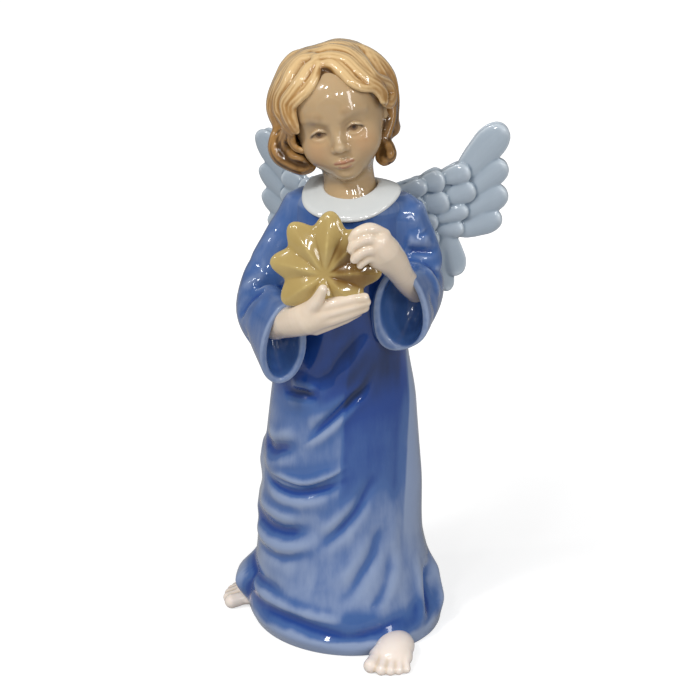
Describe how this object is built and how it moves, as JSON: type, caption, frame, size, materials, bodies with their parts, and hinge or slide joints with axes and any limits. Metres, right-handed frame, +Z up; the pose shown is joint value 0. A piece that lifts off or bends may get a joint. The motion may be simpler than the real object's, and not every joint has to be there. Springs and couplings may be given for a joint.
{
  "type": "guardian angel figurine",
  "caption": "Glazed porcelain figurine of a child angel in a long blue gown holding a gold star, with feathered wings and bare feet, standing on a flat closed base.",
  "frame": {"origin": "middle of the flat standing face, on the floor level", "axes": "+Z up; the angel faces -Y, so its left hand and the star's far tip are towards +X"},
  "size_m": [0.0769, 0.0621, 0.1698],
  "materials": {
    "blue_glaze": "underglaze blue on porcelain under a clear gloss glaze, darker where it pools in the folds",
    "white_glaze": "white porcelain under a clear gloss glaze",
    "skin_glaze": "pale flesh tint on porcelain under a clear gloss glaze, peach at the knuckles and cheeks",
    "hair_glaze": "golden brown on porcelain under a clear gloss glaze, darker between the locks",
    "gold_glaze": "ochre yellow with a soft gold sheen under a gloss glaze",
    "wing_glaze": "pale blue grey on porcelain under a clear gloss glaze, darker between the feathers"
  },
  "bodies": {
    "root": {"gown": "blue_glaze", "right_sleeve": "blue_glaze", "left_sleeve": "blue_glaze", "collar": "white_glaze", "head": "skin_glaze", "hair": "hair_glaze", "star": "gold_glaze", "right_hand": "skin_glaze", "left_hand": "skin_glaze", "right_wing": "wing_glaze", "left_wing": "wing_glaze", "right_foot": "skin_glaze", "left_foot": "skin_glaze"}
  },
  "joints": []
}
